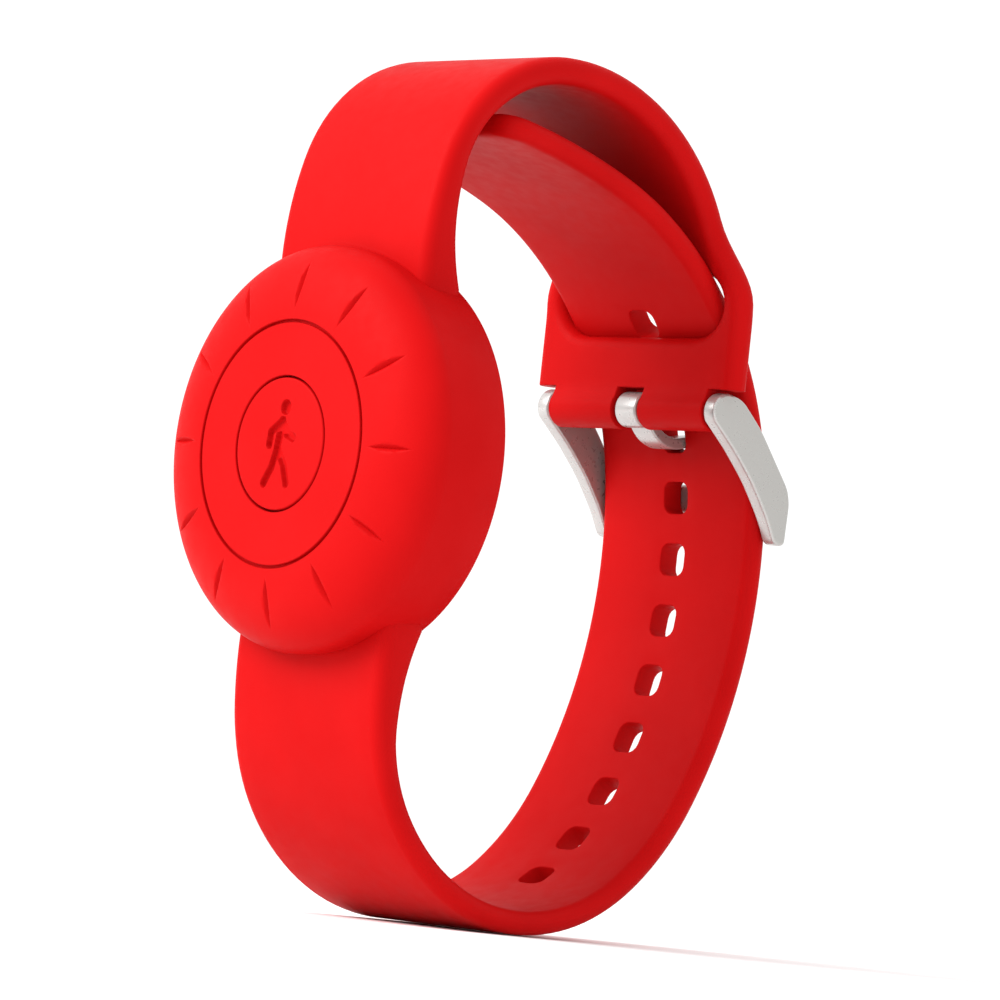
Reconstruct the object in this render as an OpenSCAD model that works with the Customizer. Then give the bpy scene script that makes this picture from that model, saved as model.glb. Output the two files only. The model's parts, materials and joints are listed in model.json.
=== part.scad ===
// Wristband with a round Bluetooth tracker tag.
// Origin: centre of the case back. The front face looks along -Y, +Z runs up the strap
// and +X is the spring bar's axis. The strap closes on itself in the YZ plane.

/* [Case] */
// Widest diameter of the silicone head
head_d = 35; // [34:0.5:37]
// Thickness of the head from the case back to the front face
head_h = 10.5; // [10.3:0.1:10.8]
// Diameter of the head where it meets the wrist
head_back_d = 34.2; // [33.4:0.2:35]
// Diameter of the flat front face
face_d = 21.4; // [20:0.2:22]
// Height of the dome from the widest circle to the front face
dome_h = 4; // [3.5:0.1:4.5]
// Number of marks round the dome
tick_count = 12; // [6:1:16]

/* [Button] */
// Diameter of the push button
button_d = 11.3; // [10:0.1:12]
// Gap round the push button
button_gap = 0.2; // [0.15:0.05:0.3]
// How far the button goes in
button_travel = 0.3; // [0.2:0.05:0.3]

/* [Strap] */
// Width of the strap
strap_w = 19.9; // [19:0.1:20]
// Thickness of the half with the holes
hole_strap_t = 2.1; // [1.9:0.1:2.2]
// Thickness of the half with the buckle
buckle_strap_t = 2.4; // [2.2:0.1:2.5]
// Number of adjustment holes
hole_count = 11; // [6:1:11]
// Distance from hole to hole along the strap
hole_pitch = 5.8; // [5.7:0.05:5.85]
// Side of the square adjustment holes
hole_w = 3; // [3:0.1:3.4]

/* [Buckle] */
// Width of the strap where it holds the buckle
end_w = 25.8; // [24.6:0.2:26]
// Height of the slot that takes the strap's tail
slot_h = 6.2; // [6.2:0.1:7.2]
// Thickness of the buckle's side plates
plate_t = 1.5; // [1.2:0.1:1.6]
// Width of the tongue
tongue_w = 2.7; // [2.2:0.1:2.9]
// Outer diameter of the spring bar
bar_d = 1.8; // [1.6:0.1:1.8]

/* [Hidden] */
$fn = 64;

silicone_red = [0.93, 0.09, 0.08];
steel = [0.78, 0.77, 0.74];

// How far a cutting shape runs past the surface that it cuts
past = 1;

// Head, heights measured from the case back towards the front face
head_wall = 2.1;
face_t = 1.5;
shell_d = head_back_d - 2 * head_wall;
lip_d = 27.6;
lip_t = 1.3;
groove_w = 0.35;
groove_depth = 0.45;
tick_inner_r = 12;
tick_outer_r = 15.2;
tick_depth = 0.45;
tick_wheel_r = 5;
tick_wheel_half_w = 3.2;

// Tag capsule
fit_gap = 0.1;
housing_t = 1;
capsule_d = shell_d - 2 * fit_gap;
capsule_top = head_h - face_t - fit_gap;
cover_flange_top = 2.6;
cover_floor = 1.2;
cell_d = 20;
cell_h = 3.2;
cell_z = 1.4;
cell_room = 0.7;
contact_t = 0.2;
board_z = 5.4;
board_t = 0.8;
board_top = board_z + board_t;
board_r = 13.3;
screw_count = 4;
screw_circle_r = 12.1;
screw_r = 0.7;
screw_length = 4.8;
screw_head_r = 1.25;
screw_head_t = 0.6;
screw_recess = 0.1;
boss_r = 1.35;
seal_r = 0.3;
seal_inset = 0.5;
seal_gap = 0.05;

// Button
flange_t = 0.3;
flange_w = 1;
rest_gap = 0.05;
button_t = head_h - capsule_top - button_travel - rest_gap;
stem_r = 1.5;
stem_gap = 0.3;
pocket_r = button_d / 2 + flange_w + 0.3;
pocket_h = 0.65;
plunger_r = 0.9;
plunger_h = 1;
plunger_top = 8.05;
switch_w = 4.6;
switch_top = 7.2;

// Strap, drawn in the YZ plane. Both halves leave the head at root_y and +-root_z.
root_y = -4.75;
root_z = 12.8;
root_lean = 7;
// Thickness at the root, and how far along the strap it takes to thin down
root_t = 4.8;
root_length = 20;
// Each arc is [radius of the outer surface, sweep in degrees, left turns positive]
hole_strap_arcs = [[40, 14], [19, 123.5], [26.3, 21.3], [47.4, 36.8], [31, 62], [70, 12]];
buckle_strap_arcs = [[31, -24.5], [14.6, -69.5], [20.6, -93]];
first_hole = 49;
hole_corner_r = 0.9;
path_step = 2;

// Strap end, slot and hinge
end_z = 9.9;
// The stretch along Y that holds the strap's end and nothing else
end_from_y = 20;
end_to_y = 40;
slot_z = 14.5;
slot_gap = 0.4;
slot_corner_r = 3;
tail_gap = 0.3;
widen_top = 25;
widen_end = 17.5;
hinge_y = 30;
hinge_z = 8;
barrel_r = 1.75;
notch_w = tongue_w + 0.7;
notch_reach = 5;
run_gap = 0.06;
tube_w = strap_w - 0.7;
tube_bore_r = bar_d / 2 - 0.25;
tip_shaft_r = tube_bore_r - 0.05;
tip_nose_r = 0.4;
tip_inner = 7;
plate_in = strap_w / 2 + 0.2;
plate_out = plate_in + plate_t;
plate_r = 1.65;
crossbar_t = 0.8;
crossbar_h = 2.6;
// Where the crossbar crosses the YZ plane, and how deep its ends sit in the side plates
crossbar_at = [38.55, 0.95];
crossbar_lean = 6;
crossbar_grip = 0.3;
nose_wall = 0.25;
tongue_t = 1;
tongue_eye_r = 1.6;
coil_r = 0.42;
wire_r = 0.1;
coil_turns = 14;

// ---------- helpers ----------

// Lays a drawing of the YZ plane (x as Y, y as Z) upright, with its height along X
module side_view() rotate([90, 0, 90]) children();

// Turns a shape about its own Z so that it is a body of revolution about the case's axis
module case_axis() rotate([90, 0, 0]) children();

// Lays an XZ drawing upright and extrudes it towards +Y from y0 to y1
module front_view(y0, y1)
    translate([0, y1, 0]) rotate([90, 0, 0]) linear_extrude(height = y1 - y0) children();

module rounded_rect(w, h, r) {
    square([w - 2 * r, h], center = true);
    square([w, h - 2 * r], center = true);
    for (sx = [-1, 1], sy = [-1, 1])
        translate([sx * (w / 2 - r), sy * (h / 2 - r)]) circle(r = r);
}

// Half a circle of radius r about c, bulging in the direction turn
function round_end(c, r, turn) = [for (a = [-90 : 22.5 : 90]) c + r * [cos(turn + a), sin(turn + a)]];

// A round-ended stroke from p to q, used for the figure on the button
module stroke(p, q, w) {
    turn = atan2(q.y - p.y, q.x - p.x);
    polygon(concat(round_end(q, w / 2, turn), round_end(p, w / 2, turn + 180)));
}

// A path in a drawing is a start point p0, a heading h0 and a list of arcs [radius, sweep]
function heading(h0, arcs, i) = i == 0 ? h0 : heading(h0, arcs, i - 1) + arcs[i - 1][1];

function left_of(h) = [-sin(h), cos(h)];

// Step from a point along an arc of radius r that turns the heading from h to h1
function arc_step(r, h, h1) = sign(h1 - h) * r * (left_of(h) - left_of(h1));

function path_point(p0, h0, arcs, i) =
    i == 0 ? p0 :
    path_point(p0, h0, arcs, i - 1)
        + arc_step(arcs[i - 1][0], heading(h0, arcs, i - 1), heading(h0, arcs, i));

function arc_length(arc) = arc[0] * abs(arc[1]) * PI / 180;

function path_length(arcs, i = 0) =
    i == len(arcs) ? 0 : arc_length(arcs[i]) + path_length(arcs, i + 1);

// Place along a path: [point, heading] at distance s, searched from arc i
function place_at(p0, h0, arcs, s, i = 0) =
    i < len(arcs) - 1 && s > arc_length(arcs[i])
        ? place_at(p0, h0, arcs, s - arc_length(arcs[i]), i + 1)
        : let (h = heading(h0, arcs, i),
               h1 = h + sign(arcs[i][1]) * s / arcs[i][0] * 180 / PI)
          [path_point(p0, h0, arcs, i) + (s > 0 ? arc_step(arcs[i][0], h, h1) : [0, 0]), h1];

// Points beside a path, offset to its left by left(s)
function beside_path(p0, h0, arcs, step, left) =
    let (total = path_length(arcs), n = ceil(total / step))
    [for (k = [0 : n])
        let (s = total * k / n, at = place_at(p0, h0, arcs, s))
        at[0] + left(s) * left_of(at[1])];

function reversed(list) = [for (i = [len(list) - 1 : -1 : 0]) list[i]];

// ---------- case ----------

function dome_r(a) = face_d / 2 + (head_d - face_d) / 2 * cos(a);
function dome_z(a) = head_h - dome_h + dome_h * sin(a);

module head_outline() {
    dome = [for (a = [0 : 7.5 : 90]) [dome_r(a), dome_z(a)]];
    polygon(concat([[0, 0], [head_back_d / 2, 0]], dome, [[0, head_h]]));
}

module head_envelope() case_axis() rotate_extrude($fn = 96) head_outline();

// The room that the head takes out of a strap's root, open towards the wrist
module head_room() {
    head_envelope();
    case_axis() translate([0, 0, -3 * past]) cylinder(d = head_back_d, h = 3.5 * past);
}

// A wheel with a sharp rim, which sinks a lens-shaped mark into the dome
module tick_wheel()
    rotate([90, 0, 0]) rotate_extrude($fn = 48)
        polygon([[0, -tick_wheel_half_w], [tick_wheel_r, 0], [0, tick_wheel_half_w]]);

module tick_marks() {
    middle_r = (tick_inner_r + tick_outer_r) / 2;
    a = acos((middle_r - face_d / 2) / ((head_d - face_d) / 2));
    lean = atan2((head_d - face_d) / 2 * sin(a), dome_h * cos(a)) - 90;
    for (i = [0 : tick_count - 1])
        case_axis() rotate([0, 0, i * 360 / tick_count])
            translate([middle_r, 0, dome_z(a)]) rotate([0, -lean, 0])
                translate([0, 0, tick_wheel_r - tick_depth]) tick_wheel();
}

module head_cavity() {
    case_axis() {
        translate([0, 0, lip_t]) cylinder(d = shell_d, h = head_h - face_t - lip_t);
        translate([0, 0, -past]) cylinder(d = lip_d + 2 * fit_gap, h = lip_t + 2 * past);
        translate([0, 0, head_h - face_t - 0.01]) cylinder(r = pocket_r, h = pocket_h + 0.01);
        cylinder(r = button_d / 2 + button_gap, h = head_h + past);
    }
}

module face_groove()
    case_axis() translate([0, 0, head_h - groove_depth])
        rotate_extrude() translate([face_d / 2 - groove_w, 0]) square([groove_w, past]);

module silicone_head() {
    color(silicone_red) difference() {
        head_envelope();
        head_cavity();
        face_groove();
        tick_marks();
    }
}

// A plain walking figure: a round head and rounded limbs
module walking_figure() {
    w = 0.72;
    neck = [0.1, 1.9];
    hip = [-0.25, -0.35];
    translate([0.35, 3.1]) circle(r = 0.62, $fn = 32);
    stroke(neck, hip, 1.15 * w);
    stroke(neck, [-1.25, 0.95], w);
    stroke([-1.25, 0.95], [-1.35, -0.1], w);
    stroke(neck, [0.85, 0.85], w);
    stroke([0.85, 0.85], [1.65, 0.55], w);
    stroke(hip, [0.75, -1.75], w);
    stroke([0.75, -1.75], [1.35, -3.35], w);
    stroke(hip, [-0.75, -2.05], w);
    stroke([-0.75, -2.05], [-1.6, -3.4], w);
}

module push_button() {
    bottom = head_h - button_t;
    color(silicone_red) case_axis() difference() {
        union() {
            translate([0, 0, bottom]) cylinder(d = button_d, h = button_t);
            translate([0, 0, bottom]) cylinder(d = button_d + 2 * flange_w, h = flange_t);
            translate([0, 0, plunger_top]) cylinder(r = stem_r, h = bottom - plunger_top);
        }
        translate([0, 0, head_h - groove_depth])
            linear_extrude(height = past) walking_figure();
    }
}

module at_screws()
    for (i = [0 : screw_count - 1])
        rotate([0, 0, 45 + i * 360 / screw_count]) translate([screw_circle_r, 0, 0]) children();

module front_housing() {
    inner_top = capsule_top - housing_t;
    room_h = inner_top - cover_flange_top;
    color("dimgray") case_axis() difference() {
        union() {
            difference() {
                translate([0, 0, cover_flange_top])
                    cylinder(d = capsule_d, h = capsule_top - cover_flange_top);
                translate([0, 0, cover_flange_top - past])
                    cylinder(d = capsule_d - 2 * housing_t, h = room_h + past);
            }
            at_screws() translate([0, 0, cover_flange_top])
                cylinder(r = boss_r, h = room_h + housing_t / 2);
        }
        cylinder(r = stem_r + stem_gap, h = head_h);
        at_screws() cylinder(r = screw_r, h = screw_recess + screw_head_t + screw_length + 0.5);
    }
}

module rear_cover() {
    seal_w = 2 * (seal_r + seal_gap);
    color("darkslategray") case_axis() difference() {
        union() {
            cylinder(d = lip_d, h = lip_t + 2 * fit_gap);
            translate([0, 0, lip_t + fit_gap])
                cylinder(d = capsule_d, h = cover_flange_top - lip_t - fit_gap);
        }
        translate([0, 0, cover_floor]) cylinder(d = cell_d + 2 * cell_room, h = cell_h);
        translate([0, 0, cover_flange_top - 2 * seal_r - 0.02]) rotate_extrude()
            translate([capsule_d / 2 - seal_inset - seal_w / 2, 0]) square([seal_w, past]);
        at_screws() translate([0, 0, -past])
            cylinder(r = screw_r + fit_gap, h = cover_flange_top + 2 * past);
        at_screws() translate([0, 0, -past])
            cylinder(r = screw_head_r + fit_gap, h = past + screw_recess + screw_head_t);
    }
}

module cover_screws() {
    color(steel) case_axis() at_screws() difference() {
        union() {
            translate([0, 0, screw_recess]) cylinder(r = screw_head_r, h = screw_head_t);
            translate([0, 0, screw_recess + screw_head_t]) cylinder(r = screw_r, h = screw_length);
        }
        for (a = [0, 90]) rotate([0, 0, a])
            translate([0, 0, screw_recess]) cube([1.6, 0.3, screw_head_t], center = true);
    }
}

module seal_ring() {
    color("black") case_axis() translate([0, 0, cover_flange_top - seal_r])
        rotate_extrude() translate([capsule_d / 2 - seal_inset, 0]) circle(r = seal_r, $fn = 24);
}

// ---------- electronics ----------

module circuit_board() {
    color("darkgreen") case_axis() difference() {
        translate([0, 0, board_z]) cylinder(r = board_r, h = board_t);
        at_screws() cylinder(r = boss_r + 0.15, h = head_h);
    }
}

// A block that stands on the front of the circuit board
module on_board(x, y, size)
    case_axis() translate([x - size.x / 2, y - size.y / 2, board_top]) cube(size);

module bluetooth_chip() color([0.08, 0.08, 0.09]) on_board(-6.3, 2.4, [5, 5, 0.9]);
module motion_sensor() color([0.15, 0.15, 0.16]) on_board(-5.6, -3.4, [2.2, 2.2, 0.9]);
module crystal() color("silver") on_board(-1.8, 5.6, [2.5, 2, 0.6]);
module chip_antenna() color("ivory") on_board(0, 10.6, [7, 2, 1.1]);
module status_led() color("white") on_board(5.4, 5.4, [1.6, 0.8, 0.6]);

module piezo_buzzer() {
    color("gold") case_axis() translate([7.9, -0.6, board_top]) cylinder(r = 3.8, h = 1.4);
}

module capacitors() {
    color("tan") for (i = [0 : 5]) on_board(-4.5 + 1.8 * i, -8.6, [0.8, 1.6, 0.8]);
}

module switch_body() {
    bore_r = plunger_r + run_gap;
    bore_z = plunger_top - plunger_h - button_travel - rest_gap;
    color("silver") difference() {
        on_board(0, 0, [switch_w, switch_w, switch_top - board_top]);
        case_axis() translate([0, 0, bore_z]) cylinder(r = bore_r, h = plunger_h + past);
    }
}

module switch_plunger() {
    color([0.2, 0.2, 0.2]) case_axis()
        translate([0, 0, plunger_top - plunger_h]) cylinder(r = plunger_r, h = plunger_h);
}

module coin_cell() {
    rim_h = 0.5;
    rim_w = 1.2;
    color("silver") case_axis() {
        translate([0, 0, cell_z + rim_h]) cylinder(d = cell_d, h = cell_h - rim_h);
        translate([0, 0, cell_z]) cylinder(d = cell_d - 2 * rim_w, h = rim_h);
    }
}

// A spring strip along the cell with a leg up to the board at each end
module positive_clip() {
    clip_w = 3;
    reach = 9;
    cell_top = cell_z + cell_h;
    color(steel) case_axis() {
        translate([-reach, -clip_w / 2, cell_top]) cube([2 * reach, clip_w, contact_t]);
        for (s = [-1, 1])
            translate([s * reach - contact_t / 2, -clip_w / 2, cell_top])
                cube([contact_t, clip_w, board_z - cell_top]);
    }
}

// A thin disc under the cell with a tab that rises beside it to the board
module negative_contact() {
    disc_r = 4;
    tab_w = 1.8;
    tab_y = cell_d / 2 + contact_t;
    color(steel) case_axis() {
        translate([0, 0, cover_floor]) cylinder(r = disc_r, h = contact_t);
        translate([-tab_w / 2, 0, cover_floor]) cube([tab_w, tab_y + contact_t, contact_t]);
        translate([-tab_w / 2, tab_y, cover_floor]) cube([tab_w, contact_t, board_z - cover_floor]);
    }
}

// ---------- strap ----------

// Thickness at distance s from the root, for a strap that is t thick further on
function strap_t(s, t) = t + (root_t - t) * pow(max(0, 1 - s / root_length), 2);

// Side view of the half with the holes, with extra room beside both of its faces
module hole_strap_outline(room = 0) {
    start = [root_y, -root_z];
    outer = beside_path(start, -90 - root_lean, hole_strap_arcs, path_step, function (s) -room);
    inner = beside_path(start, -90 - root_lean, hole_strap_arcs, path_step,
                        function (s) strap_t(s, hole_strap_t) + room);
    polygon(concat(outer, reversed(inner)));
}

// Moves a shape to distance s along the hole strap: x along the strap, y into the loop
module on_hole_strap(s) {
    at = place_at([root_y, -root_z], -90 - root_lean, hole_strap_arcs, s);
    side_view() translate(at[0]) rotate([0, 0, at[1]]) children();
}

// Cuts through the strap with a drawing of its flat face
module through_strap(s)
    on_hole_strap(s) rotate([-90, 0, 0]) translate([0, 0, -root_t])
        linear_extrude(height = 2 * root_t) children();

module tail_tip_corners() {
    corner_r = 2.5;
    through_strap(path_length(hole_strap_arcs) - corner_r)
        for (side = [0, 1]) mirror([0, side, 0]) translate([0, strap_w / 2 - corner_r]) difference() {
            square(corner_r + past);
            circle(r = corner_r);
        }
}

module hole_strap() {
    color(silicone_red) difference() {
        side_view() linear_extrude(height = strap_w, center = true) hole_strap_outline();
        head_room();
        for (i = [0 : hole_count - 1])
            through_strap(first_hole + i * hole_pitch) rounded_rect(hole_w, hole_w, hole_corner_r);
        tail_tip_corners();
    }
}

// Half the strap's width at height z, widening smoothly towards the buckle
function half_width(z) =
    let (k = min(1, max(0, (widen_top - z) / (widen_top - widen_end))))
    strap_w / 2 + (end_w - strap_w) / 2 * (1 - cos(180 * k)) / 2;

module end_outline() {
    step = (widen_top - widen_end) / 10;
    side = [for (i = [0 : 10]) [half_width(widen_end + i * step), widen_end + i * step]];
    mirrored = [for (p = side) [-p.x, p.y]];
    polygon(concat([[end_w / 2, end_z]], side, reversed(mirrored), [[-end_w / 2, end_z]]));
}

module buckle_strap_outline() {
    start = [root_y, root_z];
    outer = beside_path(start, 90 + root_lean, buckle_strap_arcs, path_step, function (s) 0);
    inner = beside_path(start, 90 + root_lean, buckle_strap_arcs, path_step,
                        function (s) -strap_t(s, buckle_strap_t));
    foot = outer[len(outer) - 1];
    end = [[foot.x, end_z], [foot.x - buckle_strap_t, end_z]];
    polygon(concat(outer, end, reversed(inner)));
}

// The end of the strap, wide enough for the slot and the buckle
module wide_end() {
    intersection() {
        side_view() linear_extrude(height = end_w, center = true) buckle_strap_outline();
        front_view(end_from_y, end_to_y) end_outline();
    }
}

// A round barrel on the end of the strap, which the spring bar runs through
module hinge_barrel() {
    neck = [hinge_y - 1.1, hinge_y + 1.2];
    side_view() {
        translate([hinge_y, hinge_z, -strap_w / 2]) cylinder(r = barrel_r, h = strap_w);
        translate([neck[0], hinge_z, -strap_w / 2])
            cube([neck[1] - neck[0], end_z - hinge_z + past, strap_w]);
    }
}

// Room for the other half of the strap, which comes in through the slot
module tail_room()
    side_view() linear_extrude(height = strap_w + 2 * slot_gap, center = true)
        hole_strap_outline(tail_gap);

module buckle_strap() {
    color(silicone_red) difference() {
        union() {
            side_view() linear_extrude(height = strap_w, center = true) buckle_strap_outline();
            wide_end();
            hinge_barrel();
        }
        head_room();
        tail_room();
        front_view(end_from_y, end_to_y) translate([0, slot_z + slot_h / 2])
            rounded_rect(strap_w + 2 * slot_gap, slot_h, slot_corner_r);
        translate([-notch_w / 2, hinge_y - notch_reach, hinge_z - notch_reach])
            cube([notch_w, 2 * notch_reach, end_z - hinge_z + notch_reach]);
        side_view() translate([hinge_y, hinge_z, -end_w]) cylinder(r = bar_d / 2, h = 2 * end_w);
    }
}

// ---------- buckle ----------

// Side plate: round at the hinge, with a hollow back edge and a blunt tip
module plate_outline() {
    hinge = [hinge_y, hinge_z];
    back = hinge + plate_r * [cos(218), sin(218)];
    top = hinge + plate_r * [cos(85), sin(85)];
    back_edge = [back, [31.3, 4.8], [33.8, 2.3], [36.1, -0.7]];
    tip = [[37.3, -2.9], [38.6, -2.9], [38.75, 0.9], [38.35, 2.2]];
    front_edge = [[34.4, 7], [31.8, 9.3], top];
    translate(hinge) circle(r = plate_r);
    polygon(concat(back_edge, tip, front_edge));
}

// The bar across the outside of the strap, leaning with it
module crossbar_outline()
    translate(crossbar_at) rotate([0, 0, crossbar_lean])
        rounded_rect(crossbar_t, crossbar_h, crossbar_t / 2 - 0.01);

module buckle_frame() {
    crossbar_w = 2 * (plate_in + crossbar_grip);
    nose_room = plate_out - nose_wall;
    color(steel) difference() {
        side_view() {
            for (s = [-1, 1])
                translate([0, 0, s > 0 ? plate_in : -plate_out])
                    linear_extrude(height = plate_t) plate_outline();
            linear_extrude(height = crossbar_w, center = true) crossbar_outline();
        }
        side_view() translate([hinge_y, hinge_z, -nose_room])
            cylinder(r = tip_nose_r + run_gap, h = 2 * nose_room);
    }
}

// Leaves the eye steeply, passes out through a hole of the strap and lies on the crossbar
module tongue_blade() {
    start = [hinge_y + 0.75, hinge_z - 0.95];
    start_heading = -48;
    bends = [[12, -2.5], [3.3, 64.5], [30, -4.8], [2, -93.2], [400, -0.66]];
    left = beside_path(start, start_heading, bends, 0.5, function (s) tongue_t / 2);
    right = beside_path(start, start_heading, bends, 0.5, function (s) -tongue_t / 2);
    translate([0, 0, -tongue_w / 2]) {
        linear_extrude(height = tongue_w) polygon(concat(left, reversed(right)));
        translate(path_point(start, start_heading, bends, len(bends)))
            cylinder(d = tongue_t, h = tongue_w);
    }
}

module buckle_tongue() {
    color(steel) side_view() difference() {
        union() {
            translate([hinge_y, hinge_z, -tongue_w / 2]) cylinder(r = tongue_eye_r, h = tongue_w);
            tongue_blade();
        }
        translate([hinge_y, hinge_z, -tongue_w]) cylinder(r = bar_d / 2 + run_gap, h = 2 * tongue_w);
    }
}

module spring_bar_tube() {
    color(steel) side_view() translate([hinge_y, hinge_z, -tube_w / 2]) difference() {
        cylinder(d = bar_d, h = tube_w);
        translate([0, 0, -past]) cylinder(r = tube_bore_r, h = tube_w + 2 * past);
    }
}

// s is 1 for the tip at +X and -1 for the tip at -X
module spring_bar_tip(s) {
    color(steel) side_view() translate([hinge_y, hinge_z, 0]) mirror([0, 0, s < 0 ? 1 : 0]) {
        translate([0, 0, tip_inner]) cylinder(r = tip_shaft_r, h = tube_w / 2 - tip_inner);
        translate([0, 0, tube_w / 2])
            cylinder(r = tip_nose_r, h = plate_out - nose_wall - run_gap - tube_w / 2);
    }
}

module spring_bar_tip_left() spring_bar_tip(-1);
module spring_bar_tip_right() spring_bar_tip(1);

// The spring, as a row of separate rings along the tube
module spring_bar_spring() {
    pitch = 2 * tip_inner / coil_turns;
    color(steel) side_view() translate([hinge_y, hinge_z, 0]) {
        for (i = [0 : coil_turns - 1])
            translate([0, 0, -tip_inner + (i + 0.5) * pitch])
                rotate_extrude($fn = 24) translate([coil_r, 0]) circle(r = wire_r, $fn = 16);
    }
}

silicone_head();
buckle_strap();
hole_strap();
push_button();
front_housing();
rear_cover();
cover_screws();
seal_ring();
circuit_board();
bluetooth_chip();
motion_sensor();
crystal();
chip_antenna();
status_led();
piezo_buzzer();
capacitors();
switch_body();
switch_plunger();
coin_cell();
positive_clip();
negative_contact();
buckle_frame();
buckle_tongue();
spring_bar_tube();
spring_bar_spring();
spring_bar_tip_left();
spring_bar_tip_right();
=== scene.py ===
"""The looks of a silicone wristband with a round tracker tag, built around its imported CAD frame."""

import json
import math

import bmesh
import bpy
from mathutils import Matrix, Vector


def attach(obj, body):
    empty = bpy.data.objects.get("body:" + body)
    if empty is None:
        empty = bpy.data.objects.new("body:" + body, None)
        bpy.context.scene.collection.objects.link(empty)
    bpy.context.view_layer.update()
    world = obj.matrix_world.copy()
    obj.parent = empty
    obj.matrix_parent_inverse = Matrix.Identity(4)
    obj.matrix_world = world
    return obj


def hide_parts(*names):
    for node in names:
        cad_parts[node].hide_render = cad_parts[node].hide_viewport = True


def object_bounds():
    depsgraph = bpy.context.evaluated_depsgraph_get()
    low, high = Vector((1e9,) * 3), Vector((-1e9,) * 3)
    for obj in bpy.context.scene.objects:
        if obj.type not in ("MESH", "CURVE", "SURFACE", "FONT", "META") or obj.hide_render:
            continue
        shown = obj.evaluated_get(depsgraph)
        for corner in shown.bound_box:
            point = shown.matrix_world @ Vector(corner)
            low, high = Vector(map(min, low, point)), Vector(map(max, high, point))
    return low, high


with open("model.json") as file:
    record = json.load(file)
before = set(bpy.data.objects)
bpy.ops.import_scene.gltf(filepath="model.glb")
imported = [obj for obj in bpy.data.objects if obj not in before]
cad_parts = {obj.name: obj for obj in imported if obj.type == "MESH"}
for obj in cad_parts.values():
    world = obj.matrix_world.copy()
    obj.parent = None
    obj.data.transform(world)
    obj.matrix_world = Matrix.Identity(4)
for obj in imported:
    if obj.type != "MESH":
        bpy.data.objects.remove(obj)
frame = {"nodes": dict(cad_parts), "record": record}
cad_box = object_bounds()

MM = 0.001

# ---------- sizes, in millimetres, as in the CAD frame ----------

# Strap paths: start, heading in degrees, and arcs of (radius, sweep), left turns positive
ROOT_Y = -4.75
ROOT_Z = 12.8
ROOT_LEAN = 7
ROOT_T = 4.8
ROOT_LENGTH = 20
ROOT_REACH = 6
ROOT_WALL_R = 16.3
HOLE_STRAP_ARCS = [(40, 14), (19, 123.5), (26.3, 21.3), (47.4, 36.8), (31, 62), (70, 12)]
BUCKLE_STRAP_ARCS = [(31, -24.5), (14.6, -69.5), (20.6, -93)]
STRAP_W = 19.9
HOLE_STRAP_T = 2.1
BUCKLE_STRAP_T = 2.4
EDGE_R = 1.2
EDGE_SHARE = 0.48
BACK_ROOM = 0.3

FIRST_HOLE = 49
HOLE_COUNT = 11
HOLE_PITCH = 5.8
HOLE_HALF = 1.5
HOLE_CORNER_R = 0.9
HOLE_FILLET = 0.12
TIP_CORNER_R = 2.5

END_Z = 9.9
END_W = 25.8
WIDEN_TOP = 25
WIDEN_END = 17.5
SLOT_Z = 14.5
SLOT_H = 6.2
SLOT_HALF_W = 10.35
SLOT_CORNER_R = 3

HINGE = (30, 8)
BARREL_R = 1.75
BARREL_START = 0.62
BAR_R = 0.9
NOTCH_HALF_W = 1.7
PLATE_IN = 10.15
PLATE_T = 1.5
PLATE_OUT = PLATE_IN + PLATE_T
PLATE_R = 1.65
CROSSBAR_GRIP = 0.3
NOSE_HOLE_R = 0.46
NOSE_WALL = 0.25
TONGUE_W = 2.7
TONGUE_T = 1
TONGUE_EYE_R = 1.6
TONGUE_BORE_R = 0.96

HEAD_R = 17.5
HEAD_H = 10.5
HEAD_BACK_R = 17.1
FACE_R = 10.7
DOME_H = 4
SHELL_R = 15
LIP_R = 13.9
LIP_T = 1.3
FACE_T = 1.5
BUTTON_HOLE_R = 5.85
POCKET_R = 6.95
POCKET_H = 0.65
GROOVE_W = 0.35
GROOVE_DEPTH = 0.45
BUTTON_R = 5.65
BUTTON_EDGE_R = 0.15
BUTTON_T = 1.25
FLANGE_T = 0.3
FLANGE_W = 1
STEM_R = 1.5
STEM_DROP = 1.2
FIGURE_DEPTH = 0.45
FIGURE_SLOPE = 0.13
FIGURE_HEAD = (0.35, 3.1)
FIGURE_HEAD_R = 0.62
# Neck to hip, arms and legs as (start, end, width), x and z on the button
FIGURE_STROKES = [
    ((0.1, 1.9), (-0.25, -0.35), 0.83),
    ((0.1, 1.9), (-1.25, 0.95), 0.72),
    ((-1.25, 0.95), (-1.35, -0.1), 0.72),
    ((0.1, 1.9), (0.85, 0.85), 0.72),
    ((0.85, 0.85), (1.65, 0.55), 0.72),
    ((-0.25, -0.35), (0.75, -1.75), 0.72),
    ((0.75, -1.75), (1.35, -3.35), 0.72),
    ((-0.25, -0.35), (-0.75, -2.05), 0.72),
    ((-0.75, -2.05), (-1.6, -3.4), 0.72),
]
TICK_COUNT = 12
TICK_R = 13.6
TICK_HALF_LENGTH = 2.05
TICK_HALF_W = 0.34
TICK_DEPTH = 0.42


# ---------- paths ----------

def left_of(heading):
    """Unit (y, z) vector to the left of a heading in radians."""
    return Vector((-math.sin(heading), math.cos(heading)))


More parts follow.
